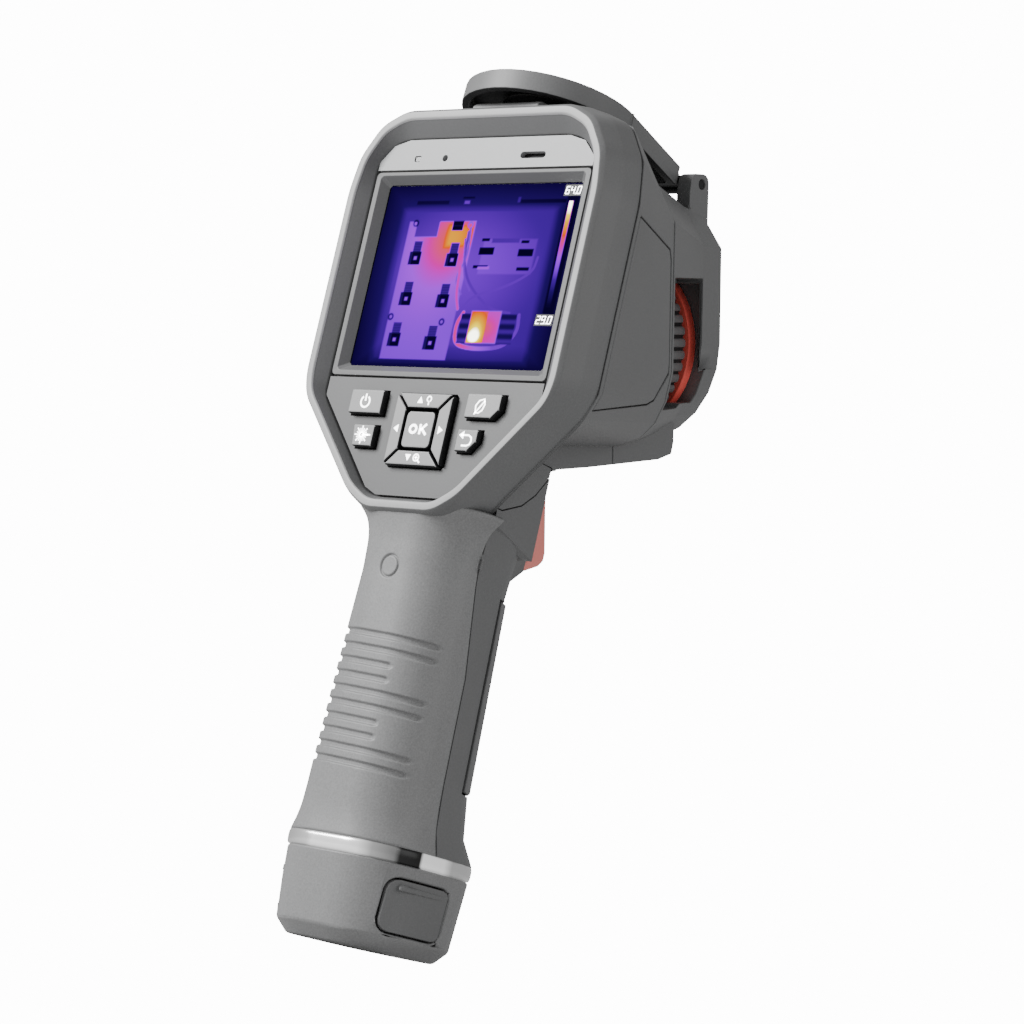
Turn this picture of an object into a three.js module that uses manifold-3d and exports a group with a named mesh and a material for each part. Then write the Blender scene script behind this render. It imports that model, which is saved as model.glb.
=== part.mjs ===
// Pistol-grip thermal imaging camera, as an assembly of its separate pieces.
// Millimetres. The origin is the centre of the battery base's bottom face, +Z runs up the grip,
// +Y is the way the lens looks and +X is the user's right.
import * as THREE from "three";
import { ConvexGeometry } from "three/addons/geometries/ConvexGeometry.js";
import { mergeVertices } from "three/addons/utils/BufferGeometryUtils.js";
import Module from "manifold-3d";

const wasm = await Module();
wasm.setup();

// Driving dimensions
const gap = 0.3; // clearance between touching pieces
const wall = 2.6; // wall of the grip and the lens housing
const headWall = 3.6; // wall of the head, recessed for the side panels
const rimY = -23.8; // rear rim plane
const seamY = -10; // rear and front shells meet here on the head
const panelY = -20.3; // face of the keypad panel and trim plate
const panelThick = 1.8;
const screen = { halfWidth: 35.04, halfHeight: 26.28, z: 183 };
const gripY = -2.5; // middle of the grip's section
const ringBottom = 23.5;
const ringTop = 27.1;
const lens = { y: 57.4, z: 188.3, tilt: THREE.MathUtils.degToRad(18) }; // lens frame: +Y along the axis
const housingStart = -28.85; // along the lens axis, where the lens housing begins
const housingFront = 5.5;
const mouthRadius = 25.9;
const hinge = { t: 4.3, v: 45.3 }; // lens cover hinge in the lens frame
const openAngle = THREE.MathUtils.degToRad(248); // from shut to lying open on the roof
const keyTravel = 0.6;
const keyFront = -22.3;
const keyBack = -17.5;
const triggerPivot = { y: 21.5, z: 133.2 };

// Finishes
const finish = (color, roughness, metalness = 0) =>
  new THREE.MeshStandardMaterial({ color, roughness, metalness });
const looks = {
  shell: finish(0x7d7f80, 0.7),
  panel: finish(0x8c8e8f, 0.6),
  trim: finish(0xc4c7c8, 0.4),
  key: finish(0x9a9c9d, 0.5),
  coral: finish(0xff6a5e, 0.45),
  rubber: finish(0x4c4e50, 0.9),
  black: finish(0x17181a, 0.6),
  chrome: finish(0xdcdfe2, 0.12, 1),
  steel: finish(0xb8bcc0, 0.35, 1),
  brass: finish(0xc9a35a, 0.35, 1),
  board: finish(0x1f5a3a, 0.6),
  cell: finish(0x3a6ea5, 0.5),
  glass: finish(0x2a1c5c, 0.1),
  germanium: finish(0x4b4a52, 0.15, 0.6),
};

// Geometry to solid and back
function solid(geometry) {
  const bare = geometry.clone();
  bare.deleteAttribute("normal");
  bare.deleteAttribute("uv");
  const merged = mergeVertices(bare, 1e-4);
  const mesh = new wasm.Mesh({
    numProp: 3,
    vertProperties: new Float32Array(merged.attributes.position.array),
    triVerts: new Uint32Array(merged.index.array),
  });
  return new wasm.Manifold(mesh);
}
function geometryOf(body) {
  const mesh = body.getMesh();
  const geometry = new THREE.BufferGeometry();
  geometry.setAttribute("position", new THREE.BufferAttribute(mesh.vertProperties, 3));
  geometry.setIndex(new THREE.BufferAttribute(mesh.triVerts, 1));
  const flat = geometry.toNonIndexed();
  flat.computeVertexNormals();
  return flat;
}
function piece(name, look, shape, group) {
  const geometry = shape.isBufferGeometry ? shape : geometryOf(shape);
  const mesh = new THREE.Mesh(geometry, looks[look]);
  mesh.name = name;
  group.add(mesh);
  return mesh;
}
const join = (parts) => parts.reduce((whole, part) => whole.add(part));

// Basic shapes
const box = (x0, x1, y0, y1, z0, z1) =>
  solid(
    new THREE.BoxGeometry(x1 - x0, y1 - y0, z1 - z0).translate(
      (x0 + x1) / 2,
      (y0 + y1) / 2,
      (z0 + z1) / 2,
    ),
  );
const hull = (points) =>
  solid(new ConvexGeometry(points.map((p) => new THREE.Vector3(...p))));
// A prism over an outline of [a, b] points, along X (a = Y, b = Z), Y (a = X, b = Z) or Z (a = X, b = Y).
function prism(outline, from, to, along) {
  const turned = along === "y" ? outline.map(([a, b]) => [a, -b]) : outline;
  const shape = new THREE.Shape(turned.map(([a, b]) => new THREE.Vector2(a, b)));
  const geometry = new THREE.ExtrudeGeometry(shape, { depth: to - from, bevelEnabled: false });
  geometry.translate(0, 0, from);
  if (along === "x") {
    const m = new THREE.Matrix4().makeBasis(
      new THREE.Vector3(0, 1, 0),
      new THREE.Vector3(0, 0, 1),
      new THREE.Vector3(1, 0, 0),
    );
    geometry.applyMatrix4(m);
  }
  if (along === "y") geometry.rotateX(-Math.PI / 2);
  return solid(geometry);
}
// A turned shape about the Y axis from [radius, height] points listed up the outside and down the inside.
const turned = (profile, segments = 24) =>
  new THREE.LatheGeometry(
    [...profile, profile[0]].map(([r, h]) => new THREE.Vector2(r, h)),
    segments,
  );
const disc = (radius, y0, y1, segments = 16) =>
  new THREE.CylinderGeometry(radius, radius, y1 - y0, segments).translate(0, (y0 + y1) / 2, 0);
const rodX = (radius, x0, x1, y, z, segments = 12) =>
  solid(
    new THREE.CylinderGeometry(radius, radius, x1 - x0, segments)
      .rotateZ(Math.PI / 2)
      .translate((x0 + x1) / 2, y, z),
  );
// A closed rounded rectangle of [x, y] points.
function rounded(halfWidth, halfDepth, radius, middle = [0, 0], steps = 5) {
  const corners = [
    [1, 1, 0],
    [-1, 1, 1],
    [-1, -1, 2],
    [1, -1, 3],
  ];
  return corners.flatMap(([sx, sy, quarter]) =>
    Array.from({ length: steps + 1 }, (_, i) => {
      const angle = ((quarter + i / steps) * Math.PI) / 2;
      return [
        middle[0] + sx * (halfWidth - radius) + radius * Math.cos(angle),
        middle[1] + sy * (halfDepth - radius) + radius * Math.sin(angle),
      ];
    }),
  );
}
const arc = (radius, from, to, steps, [cx, cy] = [0, 0]) =>
  Array.from({ length: steps + 1 }, (_, i) => {
    const angle = THREE.MathUtils.degToRad(from + ((to - from) * i) / steps);
    return [cx + radius * Math.cos(angle), cy + radius * Math.sin(angle)];
  });
const bothSides = (points) => points.flatMap(([x, ...rest]) => [[x, ...rest], [-x, ...rest]]);
// A helical spring: wire of 5 sides along a helix about +Y.
function springAlongY(radius, wire, length, turns) {
  class Helix extends THREE.Curve {
    getPoint(t, target = new THREE.Vector3()) {
      const a = t * turns * 2 * Math.PI;
      return target.set(radius * Math.cos(a), t * length, radius * Math.sin(a));
    }
  }
  const section = new THREE.Shape(
    Array.from({ length: 5 }, (_, i) => {
      const a = (i * 2 * Math.PI) / 5;
      return new THREE.Vector2(wire * Math.cos(a), wire * Math.sin(a));
    }),
  );
  return new THREE.ExtrudeGeometry(section, {
    steps: Math.round(turns * 8),
    extrudePath: new Helix(),
  });
}

// Lens frame to part frame
const lensMatrix = new THREE.Matrix4()
  .makeTranslation(0, lens.y, lens.z)
  .multiply(new THREE.Matrix4().makeRotationX(lens.tilt));
const fromLens = ([x, t, v]) => {
  const p = new THREE.Vector3(x, t, v).applyMatrix4(lensMatrix);
  return [p.x, p.y, p.z];
};
const inLens = (points) => points.map(fromLens);

// Outer body as hulls between sections; inset gives the hollow inside.
const gripSections = [
  // z, middle y, half width, half depth, corner radius
  [ringTop + gap, -0.1, 22.1, 23.2, 17],
  [34, -1.6, 20, 21, 16],
  [46, -2.6, 19.2, 20, 15.3],
  [75, gripY, 18.6, 19.4, 15],
  [100, gripY, 17.9, 18.9, 15],
  [118, gripY, 19, 19.8, 15],
];
function loft(sections, inset) {
  const rings = sections.map(([z, y, a, b, r]) =>
    rounded(a - inset, b - inset, r - inset, [0, y]).map(([x, yy]) => [x, yy, z]),
  );
  return join(rings.slice(1).map((ring, i) => hull([...rings[i], ...ring])));
}
const rearOutline = [
  [30, 229.3], [38, 225.3], [43.7, 216.3], [45.3, 206], [45.3, 152], [43.7, 146],
  [20, 119.7], [12.3, 115.3],
];
const seamOutline = [
  [31, 232], [41, 228], [47.3, 218], [49.2, 206], [49.2, 153], [46, 146],
  [20.5, 118.2], [13, 113],
];
const seamUpper = [...seamOutline.slice(0, 6), [20, 138]];
const lensSeam = [
  [22, 50.3], [30, 44.6], [38, 33.5], [37.6, -8], [35.5, -16], [32, -22],
  [27, -26.2], [19, -28.9],
];
const drawIn = (outline, inset, middle) =>
  outline.map(([x, z]) => [x * (1 - inset / 48), middle + (z - middle) * (1 - inset / 52)]);
const atY = (outline, y) => bothSides(outline.map(([x, z]) => [x, y, z]));
const atT = (outline, t) => inLens(bothSides(outline.map(([x, v]) => [x, t, v])));
function headBody(inset) {
  const rear = atY(drawIn(rearOutline, inset, 175), rimY + inset);
  const middle = atY(drawIn(seamOutline, inset, 175), seamY);
  const upper = atY(drawIn(seamUpper, inset, 178), seamY);
  const front = atT(drawIn(lensSeam, inset, 5), housingStart - gap);
  const neckFront = bothSides([
    [17.4 - inset, 15 - inset, 138.5],
    [17.4 - inset, 15 - inset, 112],
  ]);
  const neckRear = atY(drawIn(seamOutline.slice(6), inset, 150), seamY);
  const neckTop = bothSides([[19 - inset, seamY, 139]]);
  const shoulder = atY(drawIn(seamOutline, 5 + inset, 165), seamY + 6 - inset);
  return join([
    hull([...rear, ...middle]),
    hull([...middle, ...shoulder]),
    hull([...upper, ...front]),
    hull([...neckRear, ...neckTop, ...neckFront]),
  ]);
}
const chinHalf = 17.3;
function chinBody(inset) {
  const v = -35 + inset;
  const side = [[-62, v - 0.4], [-8, v + 1.6], [-2, v + 3], [-1, v + 6.5], [-1, -20], [-62, -20]];
  return hull(bothSides(side.map(([t, vv]) => [chinHalf - inset, t, vv])).map(fromLens));
}
const outer = join([loft(gripSections, 0), headBody(0)]);
const inner = join([loft([[20, ...gripSections[0].slice(1)], ...gripSections], wall), headBody(headWall)]);

// Splitting surfaces
const seamLine = [[-2.5, 0], [-2.7, 75], [-6.5, 105], [-6.5, 118], [seamY, 145], [seamY, 260]];
const rearSide = prism([[-80, 0], ...seamLine, [-80, 260]], -80, 80, "x");
const frontSideOutline = [[120, 0], ...seamLine.map(([y, z]) => [y + gap, z]), [120, 260]];
const frontSide = prism(frontSideOutline.reverse(), -80, 80, "x");
const gripTop = [[-30, 121.2], [-4, 121.2], [4.6, 124.8], [10, 129.2], [17.3, 138.4], [60, 153]];
const belowGripSeam = prism([[-30, 0], [60, 0], ...gripTop.slice().reverse()], -80, 80, "x");
const aboveGripSeam = prism(
  [...gripTop.map(([y, z]) => [y, z + gap]), [60, 260], [-30, 260]], -80, 80, "x",
);
const behindLensSeam = hull(
  inLens(
    bothSides([
      [70, housingStart - gap, -90],
      [70, housingStart - gap, 90],
      [70, -140, 90],
      [70, -140, -90],
    ]),
  ),
);

const camera = new THREE.Group();
const lensGroup = new THREE.Group();
lensGroup.position.set(0, lens.y, lens.z);
lensGroup.rotation.x = lens.tilt;
camera.add(lensGroup);

// Rear shell: rim, mouth for the display and keypad, and the back half of the grip
const mouthInner = [
  [29, 226.9], [36.4, 223.3], [41.3, 215.5], [42.9, 206], [42.9, 152.4],
  [41.6, 147.2], [18.8, 121.9], [11.6, 117.7],
];
const panelOutline = [[29, 221.9], [34.5, 220.3], [39.2, 215], [39.2, 147], [16.6, 121.4], [12, 119.4]];
const grown = (outline, by) => outline.map(([x, z]) => [x + by, z + (z > 170 ? by : -by)]);
const fullOutline = (half) => [...half, ...half.map(([x, z]) => [-x, z]).reverse()];
const mouth = join([
  hull([...atY(mouthInner, rimY - 0.5), ...atY(grown(panelOutline, gap), panelY - gap)]),
  prism(fullOutline(grown(panelOutline, gap)).reverse(), panelY - 1, -12, "y"),
]);
function grooves() {
  const cutter = loft(gripSections, 0.8);
  const slots = Array.from({ length: 10 }, (_, i) => {
    const long = i % 4 < 2;
    const reach = long ? 17.2 : 8.7;
    const z = 81.5 - 3.87 * i;
    return box(-reach, reach, -40, -10, z - 1.05, z + 1.05).subtract(cutter);
  });
  return join(slots);
}
const plugY = gripY - 18.9;
const plugHole = solid(disc(3.1, plugY - 3, plugY + 1.2, 20).translate(0, 0, 100.3));
const rearShell = outer
  .intersect(rearSide)
  .subtract(inner)
  .subtract(mouth)
  .subtract(grooves())
  .subtract(plugHole);
piece("rear_shell", "shell", rearShell, camera);
piece("grip_plug", "panel", disc(2.8, plugY - 0.3, plugY + 0.9, 20).translate(0, 0, 100.3), camera);

// Front of the grip, with the trigger housing and the recess for the interface cover
const bossRear = [[12.6, 103.5], [12.6, 136]];
const bossFront = [[8.4, 24.6, 137], [8.6, 23, 118], [8.6, 22.6, 110.5], [8.2, 18, 106]];
const boss = hull([...atY(bossRear, 10), ...bothSides(bossFront)]).intersect(belowGripSeam);
const triggerSlot = join([
  box(-6.9, 6.9, 8, 40, 109.2, 134.6),
  box(-6.9, 6.9, 15.5, 40, 134, 140),
]);
const coverBand = { low: 46, high: 98.6, rear: 6.5 };
const bandOf = (inset, grow) =>
  loft(gripSections, -0.6)
    .subtract(loft(gripSections, inset))
    .intersect(box(-30, 30, coverBand.rear - grow, 40, coverBand.low - grow, coverBand.high + grow));
const socketHoles = join([box(-5.2, 5.2, 8, 20, 84, 88.2), box(-6.6, 6.6, 8, 20, 74, 77)]);
const pinBore = rodX(1.45, -8.2, 8.2, triggerPivot.y, triggerPivot.z);
const gripFront = outer
  .intersect(frontSide)
  .intersect(belowGripSeam)
  .subtract(inner)
  .add(boss)
  .subtract(triggerSlot)
  .subtract(pinBore)
  .subtract(bandOf(1.3, gap * 2))
  .subtract(socketHoles);
piece("grip_front_shell", "shell", gripFront, camera);
piece("interface_cover", "rubber", bandOf(1, 0), camera);

// Front shell of the head, with the chin, side recesses and roof
const chin = chinBody(0).intersect(aboveGripSeam);
const sidePanelOutline = [
  [-7.6, 149.2], [-7.6, 203], [18.6, 203], [20.6, 200.6], [30.6, 171.5],
  [27, 162.5], [24, 160.4],
];
const headSolid = headBody(0);
const sunk = (side, depth) => headSolid.translate([-side * depth, 0, 0]);
const sidePrism = (side, grow) => {
  const middle = [10, 178];
  const outline = sidePanelOutline.map(([y, z]) => [
    y + Math.sign(y - middle[0]) * grow,
    z + Math.sign(z - middle[1]) * grow,
  ]);
  return prism(outline.reverse(), side > 0 ? 20 : -80, side > 0 ? 80 : -20, "x");
};
const tripodT = -37;
const placeInLens = (body, t, v) => {
  const m = lensMatrix.clone().multiply(new THREE.Matrix4().makeTranslation(0, t, v));
  return solid(geometryOf(body).applyMatrix4(m));
};
const chinFloor = (t) => -35.4 + (t + 62) / 27;
const tripodBore = placeInLens(
  solid(disc(4.7, -1, 9, 20).rotateX(Math.PI / 2)),
  tripodT,
  chinFloor(tripodT),
);
const cavity = headBody(headWall).add(
  hull(inLens(bothSides([[14.5, -50, -31], [14.5, -3.5, -31], [14.5, -3.5, -15], [14.5, -50, -15]]))),
);
let frontShell = outer
  .intersect(frontSide)
  .intersect(aboveGripSeam)
  .add(chin)
  .intersect(behindLensSeam)
  .subtract(cavity)
  .subtract(tripodBore);
for (const side of [1, -1]) {
  frontShell = frontShell.subtract(sidePrism(side, gap).subtract(sunk(side, 2)));
}
piece("front_shell", "shell", frontShell, camera);
for (const [name, side] of [["side_panel_right", 1], ["side_panel_left", -1]]) {
  const skin = sidePrism(side, 0).intersect(sunk(side, 0.1)).subtract(sunk(side, 1.7));
  piece(name, "panel", skin, camera);
}

// Display and keypad
const panelSlab = (outline, y0 = panelY, y1 = panelY + panelThick) => prism(outline, y0, y1, "y");
const trimOutline = fullOutline([[29, 221.9], [34.5, 220.3], [38.9, 215.6], [38.9, 213.1]]).reverse();
const speakerSlot = rounded(4.5, 0.95, 0.95, [17.2, 216.6], 3).reverse();
const micHole = rounded(1, 1, 1, [-14.6, 216.3], 3).reverse();
const sensorHole = rounded(1.2, 0.9, 0.3, [-24.8, 216.3], 1).reverse();
const trimPlate = panelSlab(trimOutline)
  .subtract(prism(speakerSlot, panelY - 1, -15, "y"))
  .subtract(prism(micHole, panelY - 1, -15, "y"))
  .subtract(prism(sensorHole, panelY - 1, -15, "y"));
piece("top_trim_plate", "trim", trimPlate, camera);
const sensorOutline = rounded(0.95, 0.65, 0.2, [-24.8, 216.3], 1).reverse();
piece("light_sensor", "glass", prism(sensorOutline, panelY + 0.3, panelY + 2.5, "y"), camera);
piece("microphone", "black", disc(2.6, -18.2, -16, 16).translate(-14.4, 0, 216.5), camera);
piece("speaker", "black", disc(4, -18.2, -15.4, 20).translate(18, 0, 217), camera);

const frameOutline = rounded(38.9, 29.7, 1.2, [0, 182.8], 2).reverse();
const view = (w, h) => rounded(w, h, 0.8, [0, screen.z], 1);
const bevel = hull([
  ...view(screen.halfWidth + 2.3, screen.halfHeight + 2.3).map(([x, z]) => [x, panelY - 0.1, z]),
  ...view(screen.halfWidth, screen.halfHeight).map(([x, z]) => [x, -17.7, z]),
]);
piece("display_frame", "panel", panelSlab(frameOutline, panelY, -17.8).subtract(bevel), camera);
piece("display_glass", "glass", box(-37.5, 37.5, -17.5, -16.5, 154.5, 211.5), camera);
piece("display_module", "steel", box(-38, 38, -16.1, -12.6, 154, 212), camera);

const keypadOutline = fullOutline([[38.9, 152.5], [38.9, 147.2], [16.4, 121.7], [12, 119.7]]).reverse();
const keyShapes = {
  power_key: [[-27.5, 141.8], [-15.3, 141.8], [-15.3, 148.6], [-27.5, 148.6]],
  laser_key: [[-23.2, 132.5], [-15.9, 132.5], [-15.9, 138.7], [-24, 138.7]],
  picture_key: [[15, 141.8], [24.6, 141.8], [27.2, 144.4], [27.2, 148.6], [15, 148.6]],
  back_key: [[14.2, 132.5], [18.8, 132.5], [21.6, 135.4], [21.6, 138.7], [14.2, 138.7]],
  ok_key: rounded(5.2, 5.2, 1.4, [0, 137.9], 3),
};
const pad = { outer: 10.2, inner: 5.9, z: 138, slit: 0.35 };
for (const [i, name] of ["right_key", "up_key", "left_key", "down_key"].entries()) {
  const o = pad.outer;
  const n = pad.inner;
  const s = pad.slit;
  const wedge = [[n, -n + s], [o, -o + s], [o, o - s], [n, n - s]];
  const angle = (i * Math.PI) / 2;
  keyShapes[name] = wedge.map(([x, y]) => [
    x * Math.cos(angle) - y * Math.sin(angle),
    pad.z + x * Math.sin(angle) + y * Math.cos(angle),
  ]);
}
function spread(outline, by) {
  const cx = outline.reduce((s, p) => s + p[0], 0) / outline.length;
  const cz = outline.reduce((s, p) => s + p[1], 0) / outline.length;
  return outline.map(([x, z]) => [
    x + by * Math.sign(x - cx) * (Math.abs(x - cx) > 0.5 ? 1 : 0),
    z + by * Math.sign(z - cz) * (Math.abs(z - cz) > 0.5 ? 1 : 0),
  ]);
}
let keypadPanel = panelSlab(keypadOutline);
for (const name of ["power_key", "laser_key", "picture_key", "back_key"]) {
  keypadPanel = keypadPanel.subtract(prism(spread(keyShapes[name], 0.4), panelY - 1, -15, "y"));
}
const padHole = rounded(pad.outer + 0.4, pad.outer + 0.4, 1, [0, pad.z], 1);
keypadPanel = keypadPanel.subtract(prism(padHole, panelY - 1, -15, "y"));
piece("keypad_panel", "panel", keypadPanel, camera);
for (const [name, outline] of Object.entries(keyShapes)) {
  piece(name, "key", prism(outline, keyFront, keyBack, "y"), camera);
}
const boardOutline = fullOutline([[34, 150.5], [34, 146], [18.5, 128.5]]).reverse();
piece("keypad_board", "board", prism(boardOutline, keyBack + keyTravel + gap, -15, "y"), camera);

// Trigger, its pin, switch and return spring
const triggerSide = [
  [27.6, 136.6], [29, 131.4], [33.2, 118.4], [33.2, 116], [31.4, 114], [26, 111.2],
  [19.4, 111.2], [18.2, 134.2], [21.6, 136.6],
];
const peg = solid(disc(0.9, 15.4, 20, 12)).translate([0, 0, 115.5]);
const trigger = prism(triggerSide.slice().reverse(), -6.4, 6.4, "x")
  .subtract(rodX(1.45, -7, 7, triggerPivot.y, triggerPivot.z))
  .add(peg);
piece("trigger", "coral", trigger, camera);
piece("trigger_pin", "steel", rodX(1.2, -8, 8, triggerPivot.y, triggerPivot.z), camera);
piece("trigger_switch", "black", box(-4, 4, 8.4, 13.4, 121.5, 128.5), camera);
const triggerSpring = springAlongY(2.7, 0.4, 6.6, 4);
triggerSpring.translate(0, 9.6, 115.5);
piece("trigger_spring", "steel", triggerSpring, camera);

// Sockets behind the interface cover
piece("usb_socket", "steel", box(-4.5, 4.5, 8.3, 14.6, 84.4, 87.8), camera);
piece("card_socket", "steel", box(-6.2, 6.2, 8.3, 14.6, 74.4, 76.6), camera);

// Battery: base, tower, cell and latches, sliding out of the grip downwards
const baseSections = [
  [0, 0.1, 17.5, 18.5, 13],
  [3.8, 0, 20.8, 22, 16],
  [ringBottom - gap, 0, 22, 23.1, 17],
];
const towerY = -5;
const towerOutline = (grow) => rounded(12.8 + grow, 12.4 + grow, 7 + grow, [0, towerY]);
const base = loft(baseSections, 0);
const latchOutline = (grow) => rounded(10.9 + grow, 6.9 + grow, 3 + grow, [-4.3, 12.3], 3);
const alongX = (outline, side, from, to) =>
  side > 0 ? prism(outline, from, to, "x") : prism(outline, -to, -from, "x");
const latchPocket = (side) =>
  alongX(latchOutline(0.5), side, 15.6, 30).add(
    alongX(rounded(3.1, 3.1, 1, [-4.3, 12.2], 1), side, 11.4, 16),
  );
const latch = (side) =>
  loft(baseSections, -0.2)
    .intersect(alongX(latchOutline(0), side, 17.6, 30))
    .add(alongX(rounded(0.9, 0.9, 0.9, [-4.3, 12.2], 2), side, 13.6, 18));
const well = solid(disc(11.2, 0, 90, 20).rotateX(Math.PI / 2)).translate([0, towerY, 19]);
const batteryBase = base.subtract(latchPocket(1)).subtract(latchPocket(-1));
piece("battery_base", "shell", batteryBase.subtract(well), camera);
const sleeve = prism(towerOutline(0), ringBottom, 104, "z").subtract(well);
piece("battery_tower", "black", sleeve, camera);
piece("battery_cell", "cell", disc(10.85, 19.4, 90, 20).rotateX(Math.PI / 2).translate(0, towerY, 0), camera);
piece("battery_contacts", "brass", box(-8, 8, towerY - 5, towerY + 5, 104.6, 108), camera);
const ring = loft(
  [[ringBottom, 0, 22.1, 23.2, 17], [ringTop, -0.05, 22.1, 23.2, 17]],
  0,
).subtract(prism(towerOutline(0.9), 20, 30, "z"));
piece("grip_ring", "chrome", ring, camera);
for (const [word, side] of [["right", 1], ["left", -1]]) {
  piece("latch_" + word, "shell", latch(side), camera);
  const spring = springAlongY(2.2, 0.4, 3.2, 3);
  spring.rotateZ(-Math.PI / 2);
  if (side < 0) spring.rotateY(Math.PI);
  spring.translate(side * 12.1, -4.3, 12.2);
  piece("latch_spring_" + word, "steel", spring, camera);
}

// Lens housing with finger windows, ears, bores and a recess for the lens cover
const frontOutline = [...arc(28.5, -90, 0, 6), [28.5, 27], [21.5, 36.7]];
const strutOutline = [...arc(29.4, -90, 0, 6), [29.6, 28], [22, 39]];
const slice = (outline, t) => bothSides(outline.map(([x, v]) => [x, t, v]));
const housingSkin = join([
  hull([...slice(lensSeam, housingStart), ...slice(strutOutline, -4.6)]),
  hull([...slice(strutOutline, -4.6), ...slice(frontOutline, housingFront)]),
]);
const chinSide = [[-40, -34.6], [-8, -33.4], [-2, -32], [-1, -28.5], [-1, -20], [-40, -20]];
const chinFront = hull(bothSides(chinSide.map(([t, v]) => [chinHalf, t, v]))).intersect(
  box(-40, 40, housingStart, 60, -60, 60),
);
const earOutline = [
  [-1.6, 30],
  [7.3, 30],
  [7.6, 44],
  ...arc(2.4, 0, 90, 3, [5.2, 45.9]),
  ...arc(2.4, 90, 180, 3, [1.6, 45.9]),
  [-1.4, 43],
];
const ears = [1, -1].map((side) => {
  const [x0, x1] = side > 0 ? [17, 22] : [-22, -17];
  return prism(earOutline, x0, x1, "x");
});
const windowOutline = [[-27.5, 18.3], [-4.7, 18.3], [-4.7, -9], [-12, -18.3], [-27.5, -18.3]].reverse();
const tongueSlot = prism([[-25.4, 4], [25.4, 4], [17, 40.7], [17, 60], [-17, 60], [-17, 40.7]], 0.3, 20, "y");
const boreInside = join(
  [[mouthRadius, -40, -1.3], [22.6, -2, 0], [mouthRadius, -0.5, 20]].map(([radius, from, to]) =>
    solid(disc(radius, from, to, 40)),
  ),
);
const housingHollow = hull([
  ...slice(lensSeam.map(([x, v]) => [x - wall, v > 0 ? v - wall : v + wall]), -40),
  ...slice(strutOutline.map(([x, v]) => [x - wall, v > 0 ? v - wall : v + wall]), -9),
]);
const chinHollow = box(-14.5, 14.5, -40, -4, -31.5, -20);
const eyePlaces = { camera: [10.5, -29.6, 2.6], lamp: [-10.5, -29.6, 2.6], laser: [0, -30.6, 1.5] };
const eyeBores = Object.values(eyePlaces).map(([x, v, r]) =>
  solid(disc(r + 0.35, -20, 20, 14)).translate([x, 0, v]),
);
const housing = housingSkin
  .add(chinFront)
  .add(join(ears))
  .subtract(tongueSlot)
  .subtract(boreInside)
  .subtract(housingHollow)
  .subtract(chinHollow)
  .subtract(box(-28.1, 28.1, -20, -1.3, -17, 17))
  .subtract(join([prism(windowOutline, 20, 60, "x"), prism(windowOutline, -60, -20, "x")]))
  .subtract(rodX(1.5, -30, 30, hinge.t, hinge.v))
  .subtract(join(eyeBores));
piece("lens_housing", "shell", housing, lensGroup);

// Focus ring, accent ring, barrel, lens, detector and shutter on the lens axis
const ribs = 44;
const ringOutline = new THREE.Shape(
  Array.from({ length: ribs * 2 }, (_, i) => {
    const radius = i % 2 ? 24.9 : 24.2;
    const angle = (i * Math.PI) / ribs;
    return new THREE.Vector2(radius * Math.cos(angle), radius * Math.sin(angle));
  }),
);
ringOutline.holes.push(new THREE.Path().absarc(0, 0, 21.2, 0, 2 * Math.PI, true));
const focusRing = new THREE.ExtrudeGeometry(ringOutline, {
  depth: 13.4,
  bevelEnabled: false,
  curveSegments: 32,
});
piece("focus_ring", "panel", focusRing.rotateX(Math.PI / 2).translate(0, -5.4, 0), lensGroup);
const accentProfile = [[21.2, -5.1], [25.3, -5.1], [25.3, -2], [24.8, -1.6], [21.2, -1.6]];
piece("accent_ring", "coral", turned(accentProfile, 48), lensGroup);
const barrelProfile = [[17.3, -26], [20.6, -26], [20.6, -1.5], [15.4, -1.5], [15.4, -4], [17.3, -4]];
piece("lens_barrel", "black", turned(barrelProfile, 32), lensGroup);
const frontLensProfile = [[0, -9], [16.9, -9], [16.9, -4.9], [12, -3.8], [6, -3.1], [0, -2.9]];
piece("front_lens", "germanium", turned(frontLensProfile, 28), lensGroup);
const rearLensProfile = [[0, -23], [6, -22.6], [12, -21.4], [16.9, -19], [16.9, -16.5], [0, -16.5]];
piece("rear_lens", "germanium", turned(rearLensProfile, 24), lensGroup);
piece("detector_module", "steel", box(-13, 13, -52, -36, -13, 13), lensGroup);
const shutter = box(16, 32, -33.8, -33, -8, 8)
  .add(box(10, 17, -33.8, -33, -14, -6))
  .subtract(solid(disc(1, -40, -30, 10)).translate([12, 0, -12]));
piece("shutter_blade", "black", shutter, lensGroup);
const eye = (r) => turned([[0, -14], [r, -14], [r, -1.6], [r * 0.6, -1.2], [0, -1.1]], 14);
piece("visual_camera", "black", eye(2.6).translate(10.5, 0, -29.6), lensGroup);
piece("work_lamp", "glass", eye(2.6).translate(-10.5, 0, -29.6), lensGroup);
piece("laser_module", "brass", eye(1.5).translate(0, 0, -30.6), lensGroup);

// Tripod insert under the chin
const insert = turned([[3.2, 0], [4.3, 0], [4.3, 7.6], [0, 7.6], [0, 6.4], [3.2, 6.4]], 20);
const floorV = chinFloor(tripodT);
piece("tripod_insert", "brass", insert.rotateX(Math.PI / 2).translate(0, tripodT, floorV + 0.1), lensGroup);

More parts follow.
